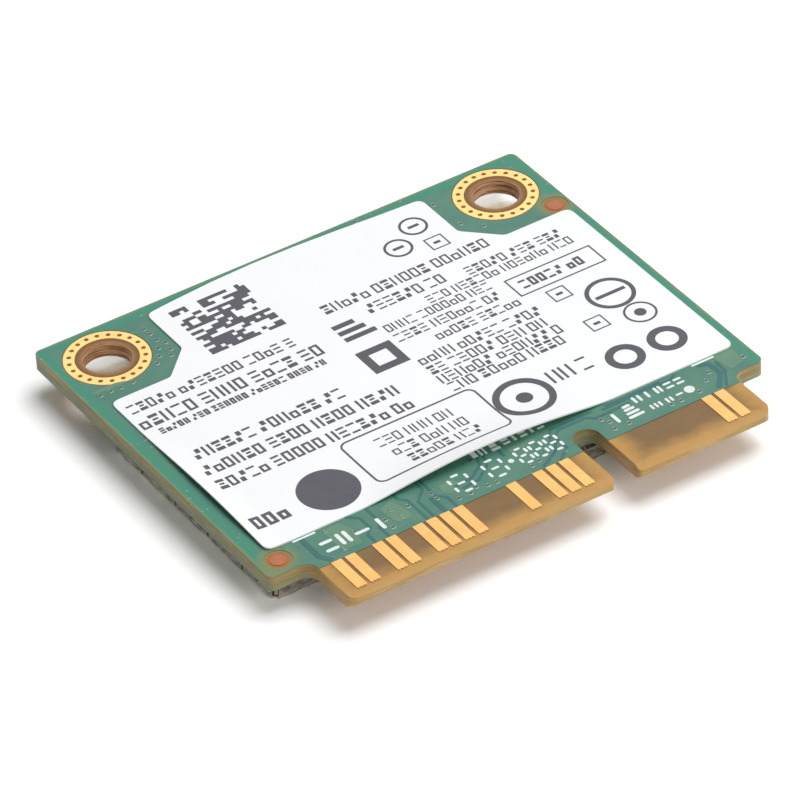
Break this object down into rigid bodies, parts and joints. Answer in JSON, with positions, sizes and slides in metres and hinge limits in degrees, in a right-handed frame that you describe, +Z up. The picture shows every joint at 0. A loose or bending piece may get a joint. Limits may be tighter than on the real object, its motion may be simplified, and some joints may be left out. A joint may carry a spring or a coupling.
{
  "type": "laptop wifi card",
  "caption": "Half-size plug-in wireless network card: green circuit board with gold edge contacts, keyed tongue, two screw holes, paper label and a shield can beneath.",
  "frame": {"origin": "centre of the card's outline, on the plane of the shield lid that the card lies on", "axes": "+X along the connector edge, +Y from the connector tongue to the screw holes, +Z up, from the shield lid to the label"},
  "size_m": [0.03, 0.0268, 0.0024],
  "materials": {
    "laminate": "satin glass-fibre laminate",
    "solder_mask": "glossy lacquer over copper tracks",
    "gold_plating": "satin gold plate",
    "bare_copper": "dull bare copper",
    "white_ink": "matt printed ink",
    "label_paper": "coated white paper",
    "dark_ink": "matt printed ink",
    "tinned_steel": "tin-plated sheet, satin",
    "antenna_gold": "satin gold plate",
    "antenna_plastic": "moulded plastic",
    "chip_plastic": "fine matt moulding compound",
    "crystal_lid": "plated lid",
    "ferrite": "matt ferrite",
    "capacitor_ceramic": "fired ceramic",
    "resistor_ceramic": "glazed ceramic",
    "tin_ends": "tin plate"
  },
  "bodies": {
    "root": {"circuit_board": "laminate", "solder_mask_label_side": "solder_mask", "solder_mask_component_side": "solder_mask", "edge_contacts_label_side": "gold_plating", "edge_contacts_component_side": "gold_plating", "left_ground_ring_label_side": "gold_plating", "right_ground_ring_label_side": "gold_plating", "left_ground_ring_component_side": "gold_plating", "right_ground_ring_component_side": "gold_plating", "target_dots": "bare_copper", "legend_label_side": "white_ink", "label": "label_paper", "label_print": "dark_ink", "shield_frame": "tinned_steel", "shield_lid": "tinned_steel", "left_antenna_shell": "antenna_gold", "right_antenna_shell": "antenna_gold", "left_antenna_insulator": "antenna_plastic", "right_antenna_insulator": "antenna_plastic", "left_antenna_contact": "antenna_gold", "right_antenna_contact": "antenna_gold", "radio_chip": "chip_plastic", "front_end_modules": "chip_plastic", "memory_chip": "chip_plastic", "crystal": "crystal_lid", "inductors": "ferrite", "capacitor_bodies": "capacitor_ceramic", "capacitor_ends": "tin_ends", "resistor_bodies": "resistor_ceramic", "resistor_ends": "tin_ends"}
  },
  "joints": []
}
